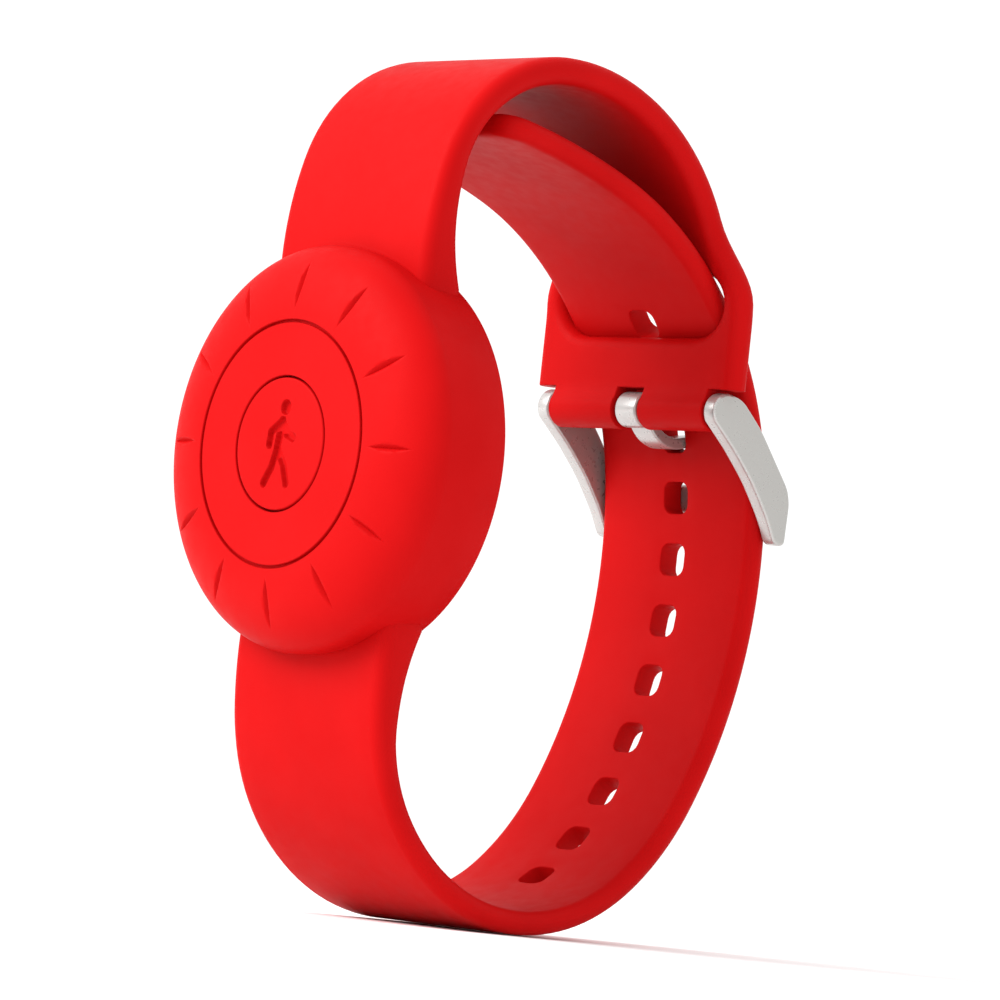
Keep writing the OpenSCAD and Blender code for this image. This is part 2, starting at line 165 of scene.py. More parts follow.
class ArcPath:
    """A smooth line in the YZ plane. Past either end it runs on straight."""

    def __init__(self, start, heading, arcs):
        self.pieces = []
        point = Vector(start)
        heading = math.radians(heading)
        distance = 0
        for radius, sweep in arcs:
            turn = math.radians(sweep)
            self.pieces.append((distance, point, heading, radius, turn))
            point = point + self.step(radius, heading, turn)
            heading += turn
            distance += radius * abs(turn)
        self.length = distance
        self.end = (point, heading)

    @staticmethod
    def step(radius, heading, turn):
        side = math.copysign(1, turn)
        return side * radius * (left_of(heading) - left_of(heading + turn))

    def at(self, s):
        """Point and heading at distance s."""
        if s <= 0 or s >= self.length:
            point, heading = self.end if s > 0 else self.pieces[0][1:3]
            past = s - self.length if s > 0 else s
            return point + past * Vector((math.cos(heading), math.sin(heading))), heading
        distance, point, heading, radius, turn = [p for p in self.pieces if p[0] <= s][-1]
        turned = math.copysign((s - distance) / radius, turn)
        return point + self.step(radius, heading, turned), heading + turned

    def beside(self, s, left):
        point, heading = self.at(s)
        return point + left * left_of(heading)

    def distance_at_height(self, z):
        """Distance at which the last stretch, which runs downwards, passes height z."""
        longest_run_on = 30
        low, high = 0.7 * self.length, self.length + longest_run_on
        for _ in range(50):
            middle = (low + high) / 2
            if self.at(middle)[0].y > z:
                low = middle
            else:
                high = middle
        return low


def spread(start, end, step):
    """Evenly spaced values from start to end, about step apart."""
    count = max(1, round((end - start) / step))
    return [start + (end - start) * i / count for i in range(count + 1)]


# ---------- meshes ----------

class Shape:
    """Collects points in millimetres and faces, and turns them into a piece."""

    def __init__(self):
        self.points = []
        self.faces = []

    def add(self, points):
        first = len(self.points)
        self.points += points
        return list(range(first, len(self.points)))

    def bridge(self, a, b, closed=True):
        for i in range(len(a) if closed else len(a) - 1):
            j = (i + 1) % len(a)
            self.faces.append((a[i], a[j], b[j], b[i]))

    def build(self, name):
        mesh = bpy.data.meshes.new(name)
        mesh.from_pydata([[c * MM for c in p] for p in self.points], [], self.faces)
        return finish_mesh(name, mesh)


def finish_mesh(name, mesh):
    """Welds the mesh, turns its faces outwards and links it as a smooth object."""
    bm = bmesh.new()
    bm.from_mesh(mesh)
    bmesh.ops.remove_doubles(bm, verts=bm.verts, dist=0.002 * MM)
    bmesh.ops.dissolve_degenerate(bm, edges=bm.edges, dist=0.001 * MM)
    bmesh.ops.recalc_face_normals(bm, faces=bm.faces)
    bm.to_mesh(mesh)
    bm.free()
    mesh.shade_smooth()
    obj = bpy.data.objects.new(name, mesh)
    bpy.context.scene.collection.objects.link(obj)
    return obj


def smooth_by_angle(obj, degrees):
    """Marks the edges sharper than an angle as hard."""
    bm = bmesh.new()
    bm.from_mesh(obj.data)
    for edge in bm.edges:
        if len(edge.link_faces) == 2 and edge.calc_face_angle() > math.radians(degrees):
            edge.smooth = False
    bm.to_mesh(obj.data)
    bm.free()


def round_edges(obj, width, segments, angle):
    """Rounds the sharp edges of a piece."""
    bevel = obj.modifiers.new("rounded edges", "BEVEL")
    bevel.width = width * MM
    bevel.segments = segments
    bevel.limit_method = "ANGLE"
    bevel.angle_limit = math.radians(angle)
    bevel.harden_normals = True
    return obj


def place(obj, body, slot, material, *nodes):
    """Gives a piece its material and its body, and hides the CAD nodes that it stands for."""
    obj.data.materials.clear()
    obj.data.materials.append(material)
    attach(obj, body)
    if nodes:
        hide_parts(*nodes)
    return obj


def rounded_ring(half_u, half_v, radius, across, corner_u, corner_v):
    """Points round a rounded rectangle, in the order of a lattice's border.

    across is the number of steps on the u sides and on the v sides. corner_u and corner_v are
    how many of them, at each end of a side, lie on the corner's arc.
    """
    def side(flat, steps, corner):
        places = []
        for i in range(steps):
            if i < corner:
                a = math.radians(45 * (1 - i / corner))
                places.append((-flat - radius * math.sin(a), radius * (1 - math.cos(a))))
            elif i <= steps - corner:
                share = (i - corner) / (steps - 2 * corner)
                places.append((flat * (2 * share - 1), 0))
            else:
                a = math.radians(45 * (1 - (steps - i) / corner))
                places.append((flat + radius * math.sin(a), radius * (1 - math.cos(a))))
        return places

    along_u = side(half_u - radius, across[0], corner_u)
    along_v = side(half_v - radius, across[1], corner_v)
    ring = [(u, -half_v + inset) for u, inset in along_u]
    ring += [(half_u - inset, v) for v, inset in along_v]
    ring += [(-u, half_v - inset) for u, inset in along_u]
    ring += [(-half_u + inset, -v) for v, inset in along_v]
    return ring


class Strap:
    """A strap lattice: rows across the strap, each a closed ring round its section.

    shares are the columns' places across the flat part, from -1 to 1. Holes are cut into blocks
    of rows and columns that the skin leaves open.
    """

    ARC_STEPS = 5

    def __init__(self, path, inner_side, thin, shares, half_width):
        self.path = path
        self.inner_side = inner_side
        self.thin = thin
        self.shares = shares
        self.half_width = half_width
        self.shape = Shape()
        self.rows = []

    def thickness(self, s):
        thick = self.thin + (ROOT_T - self.thin) * max(0, 1 - s / ROOT_LENGTH) ** 2
        room = -BACK_ROOM - self.path.at(max(s, 0))[0].x
        return min(thick, room) if s < ROOT_REACH else thick

    def point(self, s, x, depth):
        """Point at distance s, x across, depth below the outer surface."""
        y, z = self.path.beside(s, self.inner_side * depth)
        return (x, y, z)

    def root(self, s, x):
        """Bends the first rows so that the strap starts inside the head's round wall."""
        if s >= ROOT_REACH:
            return s
        start = (math.sqrt(ROOT_WALL_R ** 2 - x ** 2) - ROOT_Z) / math.cos(math.radians(ROOT_LEAN))
        return start + s / ROOT_REACH * (ROOT_REACH - start)

    def section(self, s, inset):
        """Ring of (x, depth): outer face, right edge, inner face, left edge."""
        thick = self.thickness(s) - 2 * inset
        radius = min(EDGE_SHARE * thick, EDGE_R)
        flat = self.half_width(s) - inset - radius
        edge = []
        for middle, first, start in ((radius, 0, 1), (thick - radius, 90, 0)):
            for i in range(start, start + self.ARC_STEPS):
                a = math.radians(first + 90 * i / self.ARC_STEPS)
                edge.append((flat + radius * math.sin(a), middle - radius * math.cos(a)))
        outer = [(share * flat, 0) for share in self.shares]
        inner = [(share * flat, thick) for share in reversed(self.shares)]
        ring = outer + edge + inner + [(-x, thick - depth) for x, depth in edge]
        return [(x, depth + inset) for x, depth in ring]

    def row(self, s, inset=0):
        ring = self.section(s, inset)
        points = [self.point(self.root(s, x), x, depth) for x, depth in ring]
        self.rows.append(self.shape.add(points))

    def outer(self, row, i):
        return self.rows[row][i]

    def inner(self, row, i):
        return self.rows[row][2 * len(self.shares) + 2 * self.ARC_STEPS - 1 - i]

    def skin(self, holes):
        """Joins the rows, leaving the lattice open in each hole's block of rows and columns."""
        count = len(self.rows[0])
        open_faces = set()
        for first, last, low, high in holes:
            for row in range(first, last):
                for i in range(low, high):
                    open_faces.add((row, i))
                    open_faces.add((row, 2 * len(self.shares) + 2 * self.ARC_STEPS - 2 - i))
        for row in range(len(self.rows) - 1):
            for i in range(count):
                if (row, i) not in open_faces:
                    j = (i + 1) % count
                    a, b = self.rows[row], self.rows[row + 1]
                    self.shape.faces.append((a[i], a[j], b[j], b[i]))

    def border(self, corner, block):
        """A hole's block border on one face, in the order of rounded_ring."""
        first, last, low, high = block
        ring = [corner(row, low) for row in range(first, last)]
        ring += [corner(last, i) for i in range(low, high)]
        ring += [corner(row, high) for row in range(last, first, -1)]
        ring += [corner(first, i) for i in range(high, low, -1)]
        return ring

    def cut(self, block, centre, ring_at, fillet, steps):
        """Lines a hole: from the outer face's border through the strap to the inner face's."""
        thick = self.thickness(centre)
        loops = []
        for middle, first in ((fillet, 0), (thick - fillet, 90)):
            for i in range(steps + 1):
                a = math.radians(first + 90 * i / steps)
                grow = fillet * (1 - math.sin(a))
                depth = middle - fillet * math.cos(a)
                ring = ring_at(grow)
                points = [self.point(centre + u, v, depth) for u, v in ring]
                loops.append(self.shape.add(points))
        self.shape.bridge(self.border(self.outer, block), loops[0])
        for a, b in zip(loops, loops[1:]):
            self.shape.bridge(a, b)
        self.shape.bridge(loops[-1], self.border(self.inner, block))

    def cap(self, row):
        """Closes a row with faces between its outer and inner sides."""
        for i in range(len(self.shares) - 1):
            self.cap_column(row, i)
        self.cap_edges(row)

    def cap_column(self, row, i):
        near = (self.outer(row, i), self.outer(row, i + 1))
        far = (self.inner(row, i + 1), self.inner(row, i))
        self.shape.faces.append(near + far)

    def cap_edges(self, row):
        ring = self.rows[row]
        count = len(self.shares)
        half = len(ring) // 2
        self.shape.faces.append(tuple(ring[count - 1:half + 1]))
        self.shape.faces.append(tuple(ring[half + count - 1:] + [ring[0]]))


# ---------- strap half with the holes ----------

def make_hole_strap():
    path = ArcPath((ROOT_Y, -ROOT_Z), -90 - ROOT_LEAN, HOLE_STRAP_ARCS)
    first_column = 3
    steps = 6
    tip_rows = 8
    flat = STRAP_W / 2 - EDGE_SHARE * HOLE_STRAP_T
    columns = [-flat, -7, -5, -3, -2, -1, 0, 1, 2, 3, 5, 7, flat]

    def half_width(s):
        past = max(0, s - (path.length - TIP_CORNER_R))
        rounding = TIP_CORNER_R - math.sqrt(max(0, TIP_CORNER_R ** 2 - past ** 2))
        return STRAP_W / 2 - rounding

    strap = Strap(path, 1, HOLE_STRAP_T, [x / flat for x in columns], half_width)
    holes_start = FIRST_HOLE - HOLE_PITCH / 2
    holes_end = holes_start + HOLE_COUNT * HOLE_PITCH
    whole = spread(0, holes_start, 1)[:-1]
    pierced = spread(holes_start, holes_end, HOLE_PITCH / steps)
    tip = path.length - TIP_CORNER_R
    for s in whole + pierced + spread(holes_end, tip, 1)[1:]:
        strap.row(s)
    for i in range(1, tip_rows):
        angle = math.radians(90 * i / tip_rows)
        strap.row(tip + TIP_CORNER_R * math.sin(angle), 0.45 * HOLE_STRAP_T * (i / tip_rows) ** 6)
    blocks = []
    for i in range(HOLE_COUNT):
        first_row = len(whole) + i * steps
        blocks.append((first_row, first_row + steps, first_column, first_column + steps))
    strap.skin(blocks)
    for i, block in enumerate(blocks):
        strap.cut(
            block,
            FIRST_HOLE + i * HOLE_PITCH,
            lambda grow: rounded_ring(
                HOLE_HALF + grow, HOLE_HALF + grow, HOLE_CORNER_R + grow, (steps, steps), 2, 2
            ),
            HOLE_FILLET,
            3,
        )
    strap.cap(0)
    strap.cap(len(strap.rows) - 1)
    return strap.shape.build("hole_strap_moulding")


# ---------- strap half with the buckle ----------

def make_buckle_strap():
    path = ArcPath((ROOT_Y, ROOT_Z), 90 + ROOT_LEAN, BUCKLE_STRAP_ARCS)
    end_flat = END_W / 2 - EDGE_SHARE * BUCKLE_STRAP_T
    barrel_half_w = STRAP_W / 2
    columns = [-end_flat, -barrel_half_w, -7.2, -4.5, -NOTCH_HALF_W, 0]
    columns += [-x for x in reversed(columns[:-1])]

    def half_width(s):
        z = path.at(s)[0].y
        share = min(1, max(0, (WIDEN_TOP - z) / (WIDEN_TOP - WIDEN_END))) if s > path.length / 2 else 0
        return STRAP_W / 2 + (END_W - STRAP_W) / 2 * (1 - math.cos(math.pi * share)) / 2

    strap = Strap(path, -1, BUCKLE_STRAP_T, [x / end_flat for x in columns], half_width)
    end = path.distance_at_height(END_Z)
    slot_low = path.distance_at_height(SLOT_Z)
    slot_high = path.distance_at_height(SLOT_Z + SLOT_H)
    margin = 1.6
    slot_rows = 12
    upper = spread(0, slot_high - margin, 1)[:-1]
    slot_step = (slot_low - slot_high + 2 * margin) / slot_rows
    slot_part = spread(slot_high - margin, slot_low + margin, slot_step)
    for s in upper + slot_part + spread(slot_low + margin, end, 0.8)[1:]:
        strap.row(s)
    last_column = len(columns) - 1
    block = (len(upper), len(upper) + slot_rows, 0, last_column)
    strap.skin([block])
    fillet = 0.46 * BUCKLE_STRAP_T
    strap.cut(
        block,
        (slot_low + slot_high) / 2,
        lambda grow: rounded_ring(
            (slot_low - slot_high) / 2 + grow,
            SLOT_HALF_W + grow,
            SLOT_CORNER_R + grow,
            (slot_rows, last_column),
            4,
            2,
        ),
        fillet,
        5,
    )
    strap.cap(0)
    add_barrel(strap, columns, len(strap.rows) - 1)
    obj = strap.shape.build("buckle_strap_moulding")
    return round_edges(obj, 0.12, 2, 60)


def barrel_profile(outer, inner):
    """(y, z) points from the strap's outer face round the barrel to its inner face."""
    steps = 18
    start = math.asin(BARREL_START)
    turn = [start - (math.pi + 2 * start) * i / steps for i in range(steps + 1)]
    round_part = [
        (HINGE[0] + BARREL_R * math.cos(a), HINGE[1] + BARREL_R * math.sin(a)) for a in turn
    ]
    return [outer] + round_part + [inner]


def add_barrel(strap, columns, row):
    """Closes the strap's end and runs it on as a barrel on each side of the tongue's notch."""
    shape = strap.shape
    middle = len(columns) // 2
    notch_left, notch_right = middle - 1, middle + 1
    barrel_right = len(columns) - 2
    end = shape.points[strap.outer(row, middle)]
    end_inner = shape.points[strap.inner(row, middle)]
    profile = barrel_profile((end[1], end[2]), (end_inner[1], end_inner[2]))
    strap.cap_edges(row)
    for i in (0, notch_left, middle, barrel_right):
        strap.cap_column(row, i)
    for low, high in ((1, notch_left), (notch_right, barrel_right)):
        loops = []
        bores = []
        for i in range(low, high + 1):
            x = columns[i]
            round_part = shape.add([(x, y, z) for y, z in profile[1:-1]])
            loops.append([strap.outer(row, i)] + round_part + [strap.inner(row, i)])
            angles = [math.atan2(z - HINGE[1], y - HINGE[0]) for y, z in profile]
            bore = [(x, HINGE[0] + BAR_R * math.cos(a), HINGE[1] + BAR_R * math.sin(a)) for a in angles]
            bores.append(shape.add(bore))
        for a, b in zip(loops, loops[1:]):
            shape.bridge(a, b, closed=False)
        for a, b in zip(bores, bores[1:]):
            shape.bridge(a, b)
        for end_i in (0, -1):
            shape.bridge(loops[end_i], bores[end_i])


# ---------- head ----------

def sector_angles():
    """Angles round the head, closer together at each tick."""
    half = 14
    sector = 2 * math.pi / TICK_COUNT
    angles = []
    for tick in range(TICK_COUNT):
        for i in range(-half, half):
            share = i / half
            angles.append(sector * (tick + 0.5 * (0.12 * share + 0.88 * share ** 3)))
    return angles


def tick_depth(r, angle):
    """How far the dome is sunk at a point, by the nearest of its lens-shaped ticks."""
    along = (r - TICK_R) / TICK_HALF_LENGTH
    if abs(along) >= 1:
        return 0
    sector = 2 * math.pi / TICK_COUNT
    off = (angle + sector / 2) % sector - sector / 2
    lens = 1 - along ** 2
    across = abs(off * r) / (TICK_HALF_W * lens)
    return TICK_DEPTH * lens * max(0, 1 - across)


def head_profile():
    """(radius, height) points round the head's wall, with a flag for the dome."""
    dome_w = HEAD_R - FACE_R
    dome_steps = 44
    dome = []
    for i in range(dome_steps + 1):
        a = math.pi / 2 * i / dome_steps
        dome.append((FACE_R + dome_w * math.cos(a), HEAD_H - DOME_H + DOME_H * math.sin(a)))
    soft = 0.06
    groove_out = FACE_R - soft
    groove_in = FACE_R - GROOVE_W
    groove_floor = HEAD_H - GROOVE_DEPTH
    edge = [(LIP_R, 0.15), (LIP_R + 0.15, 0), (HEAD_BACK_R - 0.4, 0), (HEAD_BACK_R - 0.12, 0.12)]
    edge += [(HEAD_BACK_R, 0.4), (HEAD_BACK_R + 0.2, 3.4)]
    groove = [(groove_out, HEAD_H - soft), (groove_out, groove_floor), (groove_in, groove_floor)]
    groove += [(groove_in, HEAD_H - soft), (groove_in - soft, HEAD_H)]
    face = [(r, HEAD_H) for r in spread(groove_in - 0.3, BUTTON_HOLE_R + 0.3, -0.9)]
    rim = [(BUTTON_HOLE_R + soft, HEAD_H), (BUTTON_HOLE_R, HEAD_H - soft)]
    cavity_top = HEAD_H - FACE_T
    inside = [(BUTTON_HOLE_R, cavity_top + POCKET_H), (POCKET_R, cavity_top + POCKET_H)]
    inside += [(POCKET_R, cavity_top), (SHELL_R, cavity_top), (SHELL_R, LIP_T), (LIP_R, LIP_T)]
    return edge, dome, groove + face + rim + inside


def make_head():
    shape = Shape()
    edge, dome, rest = head_profile()
    angles = sector_angles()
    loops = []
    for part, sunk in ((edge, False), (dome, True), (rest, False)):
        for r, height in part:
            points = []
            for a in angles:
                depth = tick_depth(r, a) if sunk else 0
                points.append((r * math.cos(a), depth - height, r * math.sin(a)))
            loops.append(shape.add(points))
    for a, b in zip(loops, loops[1:] + loops[:1]):
        shape.bridge(a, b)
    obj = shape.build("head_moulding")
    smooth_by_angle(obj, 35)
    return obj


def to_stroke(p, a, b):
    """Distance from a point to the line between two points."""
    along = b - a
    share = max(0, min(1, (p - a).dot(along) / along.length_squared))
    return (p - a - share * along).length


def figure_depth(p):
    """How far the walking figure is sunk into the button at a point."""
    nearest = (p - Vector(FIGURE_HEAD)).length - FIGURE_HEAD_R
    for a, b, width in FIGURE_STROKES:
        nearest = min(nearest, to_stroke(p, Vector(a), Vector(b)) - width / 2)
    slope = max(0, min(1, 0.5 - nearest / FIGURE_SLOPE))
    return FIGURE_DEPTH * slope * slope * (3 - 2 * slope)


def make_button():
    """A disc on a square lattice that is stretched round, so that the sunk figure comes out fine."""
    shape = Shape()
    half = 84
    rows = []
    for j in range(-half, half + 1):
        row = []
        for i in range(-half, half + 1):
            u, v = i / half, j / half
            x = u * math.sqrt(1 - v * v / 2)
            z = v * math.sqrt(1 - u * u / 2)
            p = Vector((x, z)) * (BUTTON_R - BUTTON_EDGE_R)
            row.append((p.x, figure_depth(p) - HEAD_H, p.y))
        rows.append(shape.add(row))
    for a, b in zip(rows, rows[1:]):
        shape.bridge(a, b, closed=False)
    right = [row[-1] for row in rows[:-1]]
    left = [row[0] for row in rows[:0:-1]]
    rim = rows[0][:-1] + right + rows[-1][:0:-1] + left
    under = HEAD_H - BUTTON_T
    flange_top = under + FLANGE_T
    flange_r = BUTTON_R + FLANGE_W
    wall = []
    for i in range(1, 6):
        a = math.radians(90 * i / 5)
        r = BUTTON_R - BUTTON_EDGE_R * (1 - math.sin(a))
        wall.append((r, HEAD_H - BUTTON_EDGE_R * (1 - math.cos(a))))
    wall += [(BUTTON_R, flange_top), (flange_r, flange_top), (flange_r, under)]
    wall += [(STEM_R, under), (STEM_R, under - STEM_DROP), (0.01, under - STEM_DROP)]
    directions = [Vector((shape.points[i][0], shape.points[i][2])).normalized() for i in rim]
    last = rim
    for r, height in wall:
        loop = shape.add([(r * d.x, -height, r * d.y) for d in directions])
        shape.bridge(last, loop)
        last = loop
    obj = shape.build("button_moulding")
    smooth_by_angle(obj, 50)
    return obj


# ---------- buckle ----------

def circle(centre, radius, start=0, sweep=360, steps=48):
    """(y, z) points along an arc. A full circle doesn't repeat its first point."""
    count = steps if sweep == 360 else steps + 1
    points = []
    for i in range(count):
        a = math.radians(start + sweep * i / steps)
        points.append((centre[0] + radius * math.cos(a), centre[1] + radius * math.sin(a)))
    return points


def softened(corners, radius, steps=6):
    """Rounds each corner of a (y, z) outline."""
    points = []
    for i, corner in enumerate(corners):
        here = Vector(corner)
        before = Vector(corners[i - 1]) - here
        after = Vector(corners[(i + 1) % len(corners)]) - here
        reach = min(radius, before.length * 0.45, after.length * 0.45)
        start = here + before.normalized() * reach
        end = here + after.normalized() * reach
        for k in range(steps + 1):
            t = k / steps
            points.append((1 - t) ** 2 * start + 2 * t * (1 - t) * here + t ** 2 * end)
    return [(p.x, p.y) for p in points]


def slab(name, outlines, x_low, x_high, bevel):
    """A plate in the YZ plane from x_low to x_high, with rounded rims. Later outlines are holes."""
    curve = bpy.data.curves.new(name, "CURVE")
    curve.dimensions = "2D"
    curve.fill_mode = "BOTH"
    curve.extrude = ((x_high - x_low) / 2 - bevel) * MM
    curve.bevel_depth = bevel * MM
    curve.bevel_resolution = 4
    curve.offset = -bevel * MM
    for outline in outlines:
        spline = curve.splines.new("POLY")
        spline.points.add(len(outline) - 1)
        spline.use_cyclic_u = True
        for point, (y, z) in zip(spline.points, outline):
            point.co = (y * MM, z * MM, 0, 1)
    holder = bpy.data.objects.new(name + "_outline", curve)
    bpy.context.scene.collection.objects.link(holder)
    bpy.context.view_layer.update()
    evaluated = holder.evaluated_get(bpy.context.evaluated_depsgraph_get())
    mesh = bpy.data.meshes.new_from_object(evaluated)
    bpy.data.objects.remove(holder)
    middle = (x_low + x_high) / 2 * MM
    mesh.transform(Matrix(((0, 0, 1, middle), (1, 0, 0, 0), (0, 1, 0, 0), (0, 0, 0, 1))))
    obj = finish_mesh(name, mesh)
    smooth_by_angle(obj, 28)
    return obj


def drill(obj, cutter):
    """Takes the cutter's room out of a piece and removes the cutter."""
    boolean = obj.modifiers.new("drilled", "BOOLEAN")
    boolean.object = cutter
    bpy.context.view_layer.update()
    evaluated = obj.evaluated_get(bpy.context.evaluated_depsgraph_get())
    mesh = bpy.data.meshes.new_from_object(evaluated)
    name = obj.name
    bpy.data.objects.remove(cutter)
    bpy.data.objects.remove(obj)
    drilled = finish_mesh(name, mesh)
    smooth_by_angle(drilled, 28)
    return drilled


def make_side_plate(name, side):
    top = 85
    back = 218
    arc = circle(HINGE, PLATE_R, top, back - top, 24)
    back_edge = [(31.3, 4.8), (33.8, 2.3), (36.1, -0.7)]
    tip = [(37.3, -2.9), (38.6, -2.9), (38.75, 0.9), (38.35, 2.2)]
    front_edge = [(34.4, 7), (31.8, 9.3)]
    steps = 6
    corner_r = 1.1
    rim_r = 0.28
    outline = softened([arc[-1]] + back_edge + tip + front_edge + [arc[0]], corner_r, steps)
    rounded = outline[steps + 1:-steps - 1]
    low, high = (PLATE_IN, PLATE_OUT) if side > 0 else (-PLATE_OUT, -PLATE_IN)
    plate = slab(name, [arc + rounded], low, high, rim_r)
    room = PLATE_OUT - NOSE_WALL
    return drill(plate, slab("nose_room", [circle(HINGE, NOSE_HOLE_R)], -room, room, 0.02))


def make_crossbar():
    centre = Vector((38.55, 0.95))
    lean = 6
    along = left_of(math.radians(lean))
    half_straight = 0.9
    end_r = 0.4
    top = circle(centre + half_straight * along, end_r, lean, 180, 16)
    bottom = circle(centre - half_straight * along, end_r, lean + 180, 180, 16)
    reach = PLATE_IN + CROSSBAR_GRIP
    return slab("buckle_crossbar", [top + bottom], -reach, reach, 0.1)


def make_tongue():
    start = (HINGE[0] + 0.75, HINGE[1] - 0.95)
    path = ArcPath(start, -48, [(12, -2.5), (3.3, 64.5), (30, -4.8), (2, -93.2), (400, -0.66)])
    hinge = Vector(HINGE)
    places = spread(0, path.length, 0.3)
    left = [path.beside(s, TONGUE_T / 2) for s in places]
    right = [path.beside(s, -TONGUE_T / 2) for s in places]
    left = [p for p in left if (p - hinge).length > TONGUE_EYE_R]
    right = [p for p in right if (p - hinge).length > TONGUE_EYE_R]
    tip, heading = path.at(path.length)
    tip_round = circle(tip, TONGUE_T / 2, math.degrees(heading) + 90, -180, 12)[1:-1]
    from_right = math.degrees(math.atan2(right[0].y - HINGE[1], right[0].x - HINGE[0]))
    to_left = math.degrees(math.atan2(left[0].y - HINGE[1], left[0].x - HINGE[0]))
    sweep = (to_left - from_right) % -360
    eye = circle(HINGE, TONGUE_EYE_R, from_right, sweep, 32)[1:-1]
    outline = [(p.x, p.y) for p in left] + tip_round + [(p.x, p.y) for p in reversed(right)] + eye
    half = TONGUE_W / 2
    return slab("tongue_blade", [outline, circle(HINGE, TONGUE_BORE_R)], -half, half, 0.2)


# ---------- materials ----------

class Surface:
    """A node material on one principled shader, with patterns that use the object's own space."""

    def __init__(self, name, roughness, metallic=0.0, specular=0.5):
        self.material = bpy.data.materials.new(name)
        self.material.use_nodes = True
        self.nodes = self.material.node_tree.nodes
        self.links = self.material.node_tree.links
        self.shader = self.nodes["Principled BSDF"]
        self.shader.inputs["Roughness"].default_value = roughness
        self.shader.inputs["Metallic"].default_value = metallic
        self.shader.inputs["Specular IOR Level"].default_value = specular
        self.space = self.nodes.new("ShaderNodeTexCoord").outputs["Object"]

    def noise(self, size, detail=3, stretch=(1, 1, 1)):
        """Noise whose features are about size millimetres across."""
        mapping = self.nodes.new("ShaderNodeMapping")
        mapping.inputs["Scale"].default_value = [1 / (MM * size * s) for s in stretch]
        self.links.new(self.space, mapping.inputs["Vector"])
        noise = self.nodes.new("ShaderNodeTexNoise")
        noise.inputs["Scale"].default_value = 1
        noise.inputs["Detail"].default_value = detail
        self.links.new(mapping.outputs["Vector"], noise.inputs["Vector"])
        return noise.outputs["Fac"]

    def colour(self, value, dark, light):
        ramp = self.nodes.new("ShaderNodeValToRGB")
        ramp.color_ramp.elements[0].position = 0.3
        ramp.color_ramp.elements[0].color = (*dark, 1)
        ramp.color_ramp.elements[1].position = 0.7
        ramp.color_ramp.elements[1].color = (*light, 1)
        self.links.new(value, ramp.inputs["Fac"])
        self.links.new(ramp.outputs["Color"], self.shader.inputs["Base Color"])

    def vary_roughness(self, value, low, high):
        spread_node = self.nodes.new("ShaderNodeMapRange")
        spread_node.inputs["From Min"].default_value = 0.3
        spread_node.inputs["From Max"].default_value = 0.7
        spread_node.inputs["To Min"].default_value = low
        spread_node.inputs["To Max"].default_value = high
        self.links.new(value, spread_node.inputs["Value"])
        self.links.new(spread_node.outputs["Result"], self.shader.inputs["Roughness"])

    def bump(self, value, height, strength):
        bump = self.nodes.new("ShaderNodeBump")
        bump.inputs["Distance"].default_value = height * MM
        bump.inputs["Strength"].default_value = strength
        self.links.new(value, bump.inputs["Height"])
        self.links.new(bump.outputs["Normal"], self.shader.inputs["Normal"])


def silicone(name):
    """Satin moulded silicone: nearly even red with a fine matt grain."""
    surface = Surface(name, 0.5, specular=0.03)
    surface.colour(surface.noise(9, 2), (0.45, 0.003, 0.0035), (0.49, 0.004, 0.0046))
    surface.vary_roughness(surface.noise(1.2), 0.44, 0.54)
    surface.bump(surface.noise(0.09, 4), 0.004, 0.5)
    return surface.material


def brushed_steel(name, roughness, along=(9, 1, 1), colour=(0.66, 0.65, 0.62)):
    """Steel with fine lines along one direction."""
    surface = Surface(name, roughness, metallic=1.0)
    dark = tuple(0.96 * c for c in colour)
    surface.colour(surface.noise(0.3, 3, along), dark, colour)
    surface.vary_roughness(surface.noise(0.5, 3, along), 0.9 * roughness, 1.1 * roughness)
    surface.bump(surface.noise(0.2, 2, along), 0.0004, 0.3)
    return surface.material


def buckle_steel(name):
    """Cast satin steel, whose rims and curves are painted a lighter colour than its side faces: a
    painted highlight.

    A side face is where the normal lies along X. The ramp's two places set how near.
    """
    surface = Surface(name, 0.28, metallic=0.55)
    normal = surface.nodes.new("ShaderNodeTexCoord").outputs["Normal"]
    parts = surface.nodes.new("ShaderNodeSeparateXYZ")
    surface.links.new(normal, parts.inputs["Vector"])
    flatness = surface.nodes.new("ShaderNodeMath")
    flatness.operation = "ABSOLUTE"
    surface.links.new(parts.outputs["X"], flatness.inputs[0])
    mottle = surface.noise(0.8)
    blend = surface.nodes.new("ShaderNodeMix")
    blend.inputs["Factor"].default_value = 0.06
    surface.links.new(flatness.outputs["Value"], blend.inputs["A"])
    surface.links.new(mottle, blend.inputs["B"])
    value = blend.outputs["Result"]
    # Painted highlight: rims and curves, facing away from X, get the lighter colour and side faces the
    # darker one.
    surface.colour(value, (0.5, 0.49, 0.475), (0.43, 0.42, 0.4))
    rim_highlight_ramp = surface.nodes["Color Ramp"].color_ramp
    rim_highlight_ramp.elements[0].position = 0.8
    rim_highlight_ramp.elements[1].position = 0.93
    surface.vary_roughness(surface.noise(0.5), 0.26, 0.34)
    surface.bump(surface.noise(0.6, 2), 0.001, 0.2)
    return surface.material


def plain(name, dark, light, roughness, grain=0.3):
    """A moulded or fired surface with slight mottling and grain."""
    surface = Surface(name, roughness)
    surface.colour(surface.noise(2.5), dark, light)
    surface.vary_roughness(surface.noise(0.8), 0.85 * roughness, 1.15 * roughness)
    surface.bump(surface.noise(grain, 4), 0.004, 0.6)
    return surface.material


